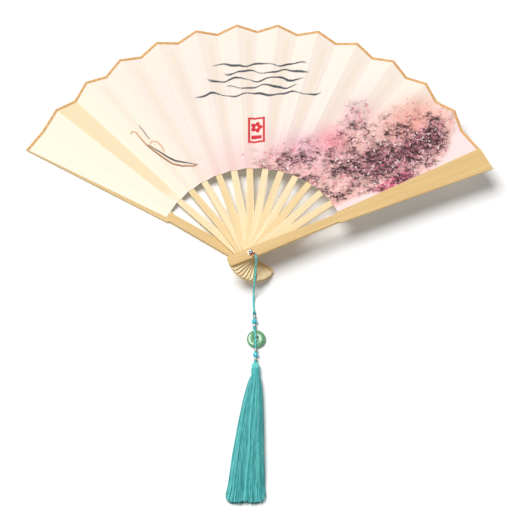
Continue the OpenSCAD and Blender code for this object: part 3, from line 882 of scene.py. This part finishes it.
def on_stick(i, along, side):
    """The underside of the leaf at a place along a stick and to its left, on the panel that it carries."""
    a = math.radians(stick_turn(i))
    lean = 0.0 if i in (0, FRONT) else math.tan(LEAF_LEAN)
    return np.array([along * math.cos(a) - side * math.sin(a), along * math.sin(a) + side * math.cos(a),
                     leaf_base(i) + side * lean])


def fold_edge(i, left):
    """Inner and outer end of the fold at the left or the right of stick i."""
    if i in (0, FRONT):
        turn, reach = BLADE_TURN, LEAF_RIDGE - TIP_SLANT
    else:
        turn, reach = (RIDGE_TURN, LEAF_RIDGE) if left else (VALLEY_TURN, LEAF_RIDGE - LEAF_NOTCH)
    turn = math.radians(turn if left else -turn)
    return [on_stick(i, r * math.cos(turn), r * math.sin(turn)) for r in (LEAF_INNER, reach)]


def end_edge(i):
    """Inner and outer end of the leaf's free edge on a guard."""
    side = 1 if i == 0 else -1
    return [on_stick(i, LEAF_INNER, side * 1.5), on_stick(i, STICK_REACH - 0.4, side * (BLADE_END / 2 - 0.4))]


def srgb(code):
    return np.array([int(code[k:k + 2], 16) / 255 for k in (1, 3, 5)])


def laid_over(under, code, share):
    share = np.clip(share, 0, 1)[:, None]
    return under * (1 - share) + srgb(code) * share


def off_line(x, y, line):
    """Distance in millimetres from each point to a drawn line, and how far along it that is, from 0 to 1."""
    line = np.array(line, float)
    best, where = np.full(len(x), 1e9), np.zeros(len(x))
    reach = np.concatenate([[0.0], np.cumsum(np.linalg.norm(np.diff(line, axis=0), axis=1))])
    for k in range(len(line) - 1):
        d = line[k + 1] - line[k]
        t = np.clip(((x - line[k][0]) * d[0] + (y - line[k][1]) * d[1]) / (d @ d), 0, 1)
        off = np.hypot(x - line[k][0] - t * d[0], y - line[k][1] - t * d[1])
        nearer = off < best
        best = np.where(nearer, off, best)
        where = np.where(nearer, (reach[k] + t * (reach[k + 1] - reach[k])) / reach[-1], where)
    return best, where


def stroke(x, y, line, width, swell=0.4):
    """Ink of a brush stroke that is thickest in its middle, from 0 to 1."""
    off, where = off_line(x, y, line)
    half = width / 2 * (1 - swell + swell * np.sin(math.pi * np.clip(where, 0.03, 0.97)))
    return 1 - smooth_step(half - 0.18, half + 0.28, off)


# A moored boat, painted in brown ink: its keel, its gunwale, an awning and a pole
KEEL = [
    (-99, 113.6), (-97.4, 115.6), (-94.6, 114.6), (-91, 109.6), (-86.6, 104.4), (-80, 98.4), (-72.6, 92.6),
    (-65, 87.4), (-56.4, 84.6), (-47.6, 84.0), (-44, 85.8)
]
GUNWALE = [(-84, 103.4), (-79.4, 100.2), (-73.6, 96.6), (-68, 92.8), (-62, 89.4), (-54, 87), (-45.4, 85.8)]
AWNING = [(-83, 104.2), (-81.6, 107.2), (-77.4, 106.8), (-73.2, 102.6), (-71, 97)]
POLE = [(-92.4, 121.4), (-88.4, 116), (-83.6, 109)]
# Ripples of water in dark ink, each a wavy row
RIPPLES = [(174, -34, 48), (167.4, -24, 50), (160.6, -38, 46), (153.8, -22, 40), (147, -48, 60)]
SEAL_X, SEAL_Y, SEAL_HALF_X, SEAL_HALF_Y = 4.6, 114.4, 6.6, 11.2


def picture(x, y):
    """The print's colour, as linear RGBA, and how dense its thicket is, at places in millimetres."""
    r = np.hypot(x, y)
    turn = np.degrees(np.arctan2(y, x))
    rightward = smooth_step(141, 118, turn)
    c = laid_over(np.tile(srgb("#F7F4DF"), (len(x), 1)), "#F8EBDD", rightward)
    # Painted shade: the first glued panel beside the end, which leans away from the light, is a warmer,
    # darker cream
    painted_fold_shade = smooth_step(134.8, 135.4, turn) * (1 - smooth_step(139.6, 140.1, turn))
    c = laid_over(c, "#F5DDB0", 0.85 * painted_fold_shade * smooth_step(78, 100, r))
    # The sticks' slips show faintly through the cloth: a warm, slightly darker band along each rib, painted
    # as the wood's colour and its shadow seen through the cloth
    for i in range(1, RIBS + 1):
        off = np.abs(turn - stick_turn(i)) * math.pi / 180 * r
        c = laid_over(c, "#F1DDC0", 0.3 * (1 - smooth_step(1.9, 2.9, off)) * (1 - smooth_step(196, 202, r)))
    # Washes that run along the pleats
    streak = 0.5 + 0.5 * np.sin(turn * 2.3 + 1.2 * np.sin(turn * 0.9)) * np.sin(turn * 1.31 + 0.7)
    c = laid_over(c, "#EFD6D2", 0.36 * streak * smooth_step(128, 112, turn) * smooth_step(212, 150, r))
    # Pale pink rises from the inner edge
    mist = smooth_step(124, 78, r) * smooth_step(126, 96, turn)
    c = laid_over(c, "#F4C4C4", 0.62 * mist)
    # Peach and rose washes behind the blossom
    top = np.interp(r, [80, 96, 110, 122, 140, 165, 196, 212], [88, 82, 72, 62, 56, 50.5, 44.5, 39])
    foot = np.interp(r, [80, 96, 112, 124, 163, 184, 196, 212], [30.5, 30, 28.6, 26.4, 26.4, 28.6, 32.5, 36])
    inside = smooth_step(top + 5, top - 7, turn) * smooth_step(foot - 1.2, foot + 1.6, turn)
    c = laid_over(c, "#F5BFB4", 0.75 * inside)
    glow = np.exp(-((r - 178) / 22) ** 2 - ((turn - 41) / 6) ** 2)
    c = laid_over(c, "#F2A18F", 0.7 * glow)
    rose = np.exp(-((r - 122) / 13) ** 2 - ((turn - 57) / 6) ** 2)
    c = laid_over(c, "#F38C98", 0.75 * rose)
    lilac = np.exp(-((r - 104) / 17) ** 2 - ((turn - 66) / 13) ** 2)
    c = laid_over(c, "#DDA9C6", 0.5 * lilac)
    low_rose = np.exp(-((r - 133) / 17) ** 4 - ((turn - 28.6) / 2.0) ** 4)
    c = laid_over(c, "#EA5F84", 0.9 * low_rose)
    strip = smooth_step(foot + 1.6, foot - 0.8, turn) * (1 - low_rose)
    c = laid_over(c, "#F9DDDE", 0.85 * strip * smooth_step(60, 40, turn))
    # The thicket is darkest in its middle
    middle = np.clip((turn - foot) / np.maximum(top - foot, 1), 0, 1)
    belly = np.exp(-((middle - 0.34) / 0.25) ** 2) * smooth_step(90, 124, r) * smooth_step(206, 180, r)
    sprays = np.exp(-((r - 150) / 16) ** 2 - ((turn - 55.5) / 4.5) ** 2)
    c = laid_over(c, "#E3A9AC", 0.6 * sprays)
    dense = inside * (0.3 + 0.75 * belly) * smooth_step(100, 66, turn) + 0.34 * sprays
    c = laid_over(c, "#8E5468", 0.5 * dense * belly)
    fringe = 0.3 * np.exp(-((r - 88) / 9) ** 2) * smooth_step(100, 84, turn) * smooth_step(34, 44, turn)
    dense = np.clip(dense + fringe, 0, 1)
    # Boat
    c = laid_over(c, "#C98F63", 0.8 * stroke(x, y, KEEL, 1.5))
    c = laid_over(c, "#7A4630", 0.85 * stroke(x, y, [(px + 0.3, py - 0.5) for px, py in KEEL[4:]], 0.7))
    c = laid_over(c, "#3E241D", 0.9 * stroke(x, y, GUNWALE, 1.3, 0.7))
    c = laid_over(c, "#D9A27A", 0.7 * stroke(x, y, AWNING, 1.3))
    c = laid_over(c, "#5B3626", 0.8 * stroke(x, y, POLE, 0.6))
    # Ripples
    for n, (row, start, stop) in enumerate(RIPPLES):
        wave = row + 1.5 * np.sin(x * 0.2 + n * 1.9) + 0.4 * np.sin(x * 0.47 + n)
        weight = np.clip(0.5 + 0.6 * np.sin(x * 0.2 + n * 1.9 + 1.2) * np.sin(x * 0.09 + n), 0.08, 1)
        band = 1 - smooth_step(0.0, 0.4, np.abs(y - wave) - (0.12 + 0.75 * weight))
        ends = smooth_step(start, start + 8, x) * (1 - smooth_step(stop - 8, stop, x))
        c = laid_over(c, "#2F3842", 0.9 * band * ends)
    # A red stamp: a frame with a plain five-petalled blossom
    u, v = x - SEAL_X, y - SEAL_Y
    box = np.maximum(np.abs(u) - SEAL_HALF_X, np.abs(v) - SEAL_HALF_Y)
    rim = (1 - smooth_step(0.1, 0.6, box)) * smooth_step(-1.6, -1.1, box)
    petal_turn = np.arctan2(v - 2.6, u)
    petals = 4.9 * (0.62 + 0.38 * np.abs(np.cos(2.5 * petal_turn)))
    bloom = 1 - smooth_step(-0.2, 0.4, np.hypot(u, v - 2.6) - petals)
    eye = 1 - smooth_step(0.9, 1.4, np.hypot(u, v - 2.6))
    bar = (1 - smooth_step(-0.2, 0.3, np.maximum(np.abs(u) - 4.2, np.abs(v + 6.4) - 1.6)))
    c = laid_over(c, "#D3202C", 0.95 * np.clip(np.maximum(rim, np.maximum(bloom * (1 - eye), bar)), 0, 1))
    lin = np.where(c <= 0.04045, c / 12.92, ((c + 0.055) / 1.055) ** 2.4)
    return np.concatenate([lin, np.ones((len(x), 1))], axis=1), dense


def shell(name, corners, rows, cols, over, under, materials):
    """A thin closed shell between two edges.

    corners are the inner and outer end of the left edge, then of the right one.
    over and under give, at each row, how far its faces stand above and below the cloth's two faces."""
    t, s = np.meshgrid(np.linspace(0, 1, rows), np.linspace(0, 1, cols), indexing="ij")
    t, s = t[..., None], s[..., None]
    (a, b), (c, d) = [np.array(p, float) for p in corners[0]], [np.array(p, float) for p in corners[1]]
    base = (1 - s) * ((1 - t) * a + t * b) + s * ((1 - t) * c + t * d)
    high = base + UP * (LEAF_THICK + np.interp(t, np.linspace(0, 1, len(over)), over))
    low = base - UP * np.interp(t, np.linspace(0, 1, len(under)), under)
    verts = np.concatenate([high.reshape(-1, 3), low.reshape(-1, 3)])
    n = rows * cols
    at = np.arange(n).reshape(rows, cols)
    quad = np.stack([at[:-1, :-1], at[:-1, 1:], at[1:, 1:], at[1:, :-1]], -1).reshape(-1, 4)
    loop = np.concatenate([at[0, :-1], at[:-1, -1], at[-1, :0:-1], at[:0:-1, 0]])
    after = np.roll(loop, -1)
    walls = np.stack([after, loop, loop + n, after + n], -1)
    faces = np.concatenate([quad, quad[:, ::-1] + n, walls])
    p, q, r = verts[faces[0][0]], verts[faces[0][1]], verts[faces[0][2]]
    if np.cross(q - p, r - p)[2] < 0:
        faces = faces[:, ::-1]
    mesh = bpy.data.meshes.new(name)
    mesh.from_pydata((verts * MM).tolist(), [], faces.tolist())
    for material in materials:
        mesh.materials.append(material)
    kind = np.ones(len(faces), np.int32)
    kind[:len(quad)] = 0
    mesh.polygons.foreach_set("material_index", np.minimum(kind, len(materials) - 1))
    cloth = mesh.uv_layers.new(name="Cloth")
    which = np.zeros(len(mesh.loops), np.int32)
    mesh.loops.foreach_get("vertex_index", which)
    cloth.data.foreach_set("uv", (verts[which][:, :2] / 250 + (0.5, 0)).astype(np.float32).ravel())
    made = new_object(name, mesh)
    return made, verts, np.concatenate([s.ravel(), s.ravel()])


def leaf_and_tape(number, kind, corners, bodies, node):
    """One stretch of the leaf and the edging tape folded over its outer edge."""
    (a, b), (c, d) = corners
    long = (np.linalg.norm(b - a) + np.linalg.norm(d - c)) / 2
    wide = max(np.linalg.norm(d - b), np.linalg.norm(c - a))
    rows, cols = int(long / 0.6), max(12, int(wide / 0.55))
    faces = [silk_front, silk_back]
    cloth, verts, across = shell(numbered(kind, number), corners, rows, cols, [0, 0], [0, 0], faces)
    hue, dense = picture(verts[:, 0], verts[:, 1])
    cloth.data.attributes.new("Print", "FLOAT_COLOR", "POINT").data.foreach_set(
        "color", hue.astype(np.float32).ravel())
    cloth.data.attributes.new("Thicket", "FLOAT", "POINT").data.foreach_set("value", dense.astype(np.float32))
    # The tape is 4.6 mm wide and folded in half, 0.12 mm thick on each face
    tape_corners = []
    for inner, outer in corners:
        way = (outer - inner) / np.linalg.norm(outer - inner)
        tape_corners.append((outer - way * 2.2, outer + way * 0.16))
    puff = [0.05, 0.12, 0.13, 0.12, 0.02]
    # The right end closes onto the panels below it, so the tapes there are pressed flat where they meet
    flat = [0.01, 0.015, 0.015, 0.015, 0.01]
    over = flat if RIBS - 1 <= number < FRONT else puff
    under = flat if number == FRONT else puff
    tape_name = numbered(kind + "_tape", number)
    tape, _, tape_across = shell(tape_name, tape_corners, 7, cols, over, under, [edging])
    for made, share in ((cloth, across), (tape, tape_across)):
        if len(bodies) == 1:
            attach(made, bodies[0])
            continue
        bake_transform(made)
    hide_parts(node)


leaf_and_tape(0, "leaf_left_end", [end_edge(0), fold_edge(0, False)], ["back_guard"], "leaf_end_back")
leaf_and_tape(FRONT, "leaf_right_end", [fold_edge(FRONT, True), end_edge(FRONT)], ["front_guard"],
              "leaf_end_front")
for i in range(1, RIBS + 1):
    leaf_and_tape(i, "leaf_glued", [fold_edge(i, True), fold_edge(i, False)], [stick_body(i)],
                  numbered("leaf_panel", i))
for i in range(RIBS + 1):
    leaf_and_tape(i, "leaf_pleat", [fold_edge(i, False), fold_edge(i + 1, True)],
                  [stick_body(i), stick_body(i + 1)], numbered("leaf_fold", i))

# --- Floor, light and air
floor_mesh = bpy.data.meshes.new("floor")
floor_mesh.from_pydata([(-4, -4, -5e-5), (4, -4, -5e-5), (4, 4, -5e-5), (-4, 4, -5e-5)], [], [(0, 1, 2, 3)])
paper, paper_tree, paper_shader = new_material("white_studio_paper")
# The paper glows a little, so that it stays white under soft light
set_shader(paper_shader, Base_Color=linear("#FFFFFF"), Roughness=0.9, Emission_Color=linear("#FFFFFF"),
           Emission_Strength=0.06)
floor = new_object("floor", floor_mesh, paper)

world = bpy.data.worlds.new("studio")
bpy.context.scene.world = world
world.use_nodes = True
world.node_tree.nodes["Background"].inputs["Color"].default_value = linear("#FFFFFF")
world.node_tree.nodes["Background"].inputs["Strength"].default_value = 0.2


def lamp(name, kind, power, way, **more):
    """A lamp that shines along way, from a metre and a half off if it has a place."""
    made = bpy.data.objects.new(name, bpy.data.lights.new(name, kind))
    bpy.context.scene.collection.objects.link(made)
    way = Vector(way).normalized()
    made.location = AIM - way * 1.5
    made.rotation_euler = way.to_track_quat("-Z", "Y").to_euler()
    made.data.energy = power
    for key, value in more.items():
        setattr(made.data, key, value)
    return made


lamp("key_light", "SUN", 2.75, (0.36, -0.34, -1.0), angle=math.radians(34))
# A weak front fill keeps the heads under the guard readable; it doesn't light the floor
fill = lamp("front_fill", "SUN", 0.4, (-0.1, 0.45, -1.0), angle=math.radians(60))
unlit = bpy.data.collections.new("not_filled")
unlit.objects.link(floor)
fill.light_linking.receiver_collection = unlit
unlit.collection_objects[0].light_linking.link_state = "EXCLUDE"
